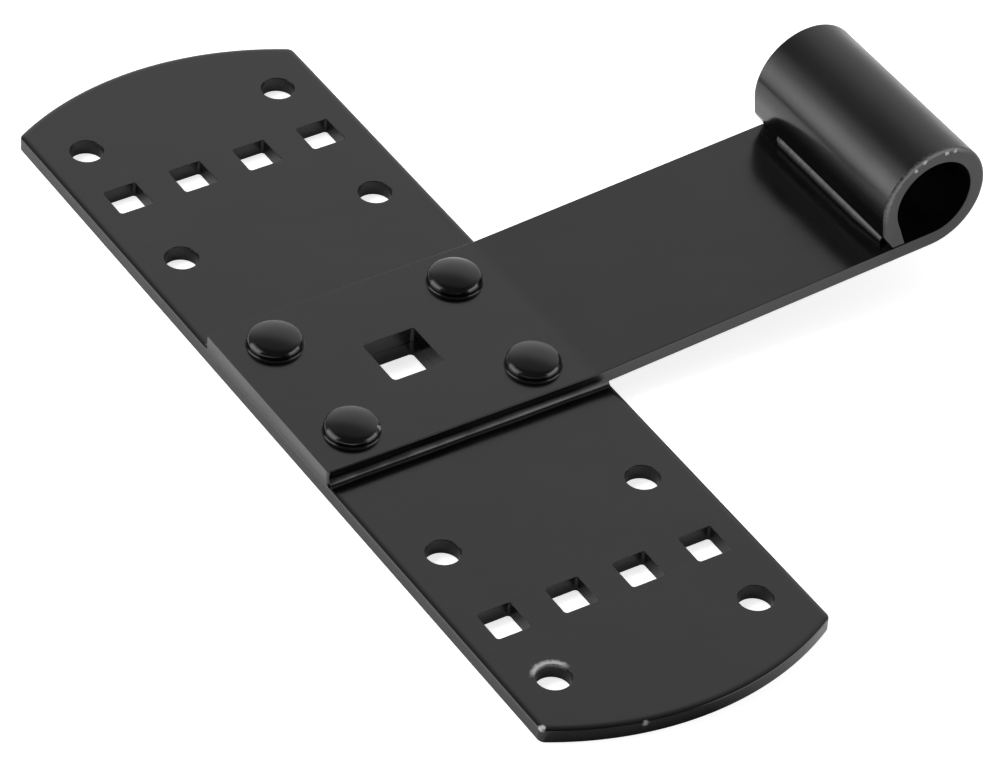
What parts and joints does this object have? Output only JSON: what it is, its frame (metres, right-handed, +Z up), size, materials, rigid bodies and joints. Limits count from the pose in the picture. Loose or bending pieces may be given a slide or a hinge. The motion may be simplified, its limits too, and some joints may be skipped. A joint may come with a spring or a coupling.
{
  "type": "tee hinge",
  "caption": "Black tee hinge leaf: a riveted strap with a rolled eye for a pin, on a cross plate with round screw holes and square bolt holes.",
  "frame": {"origin": "centre of the large square hole, at the cross plate's back face", "axes": "+X along the strap towards the eye, +Y along the cross plate and the eye's bore, +Z up from the plate's back to its front"},
  "size_m": [0.142, 0.2, 0.0311],
  "materials": {
    "black_coat": "semi-gloss black coating over steel"
  },
  "bodies": {
    "root": {"cross_plate": "black_coat", "strap": "black_coat", "rivets": "black_coat"}
  },
  "joints": []
}
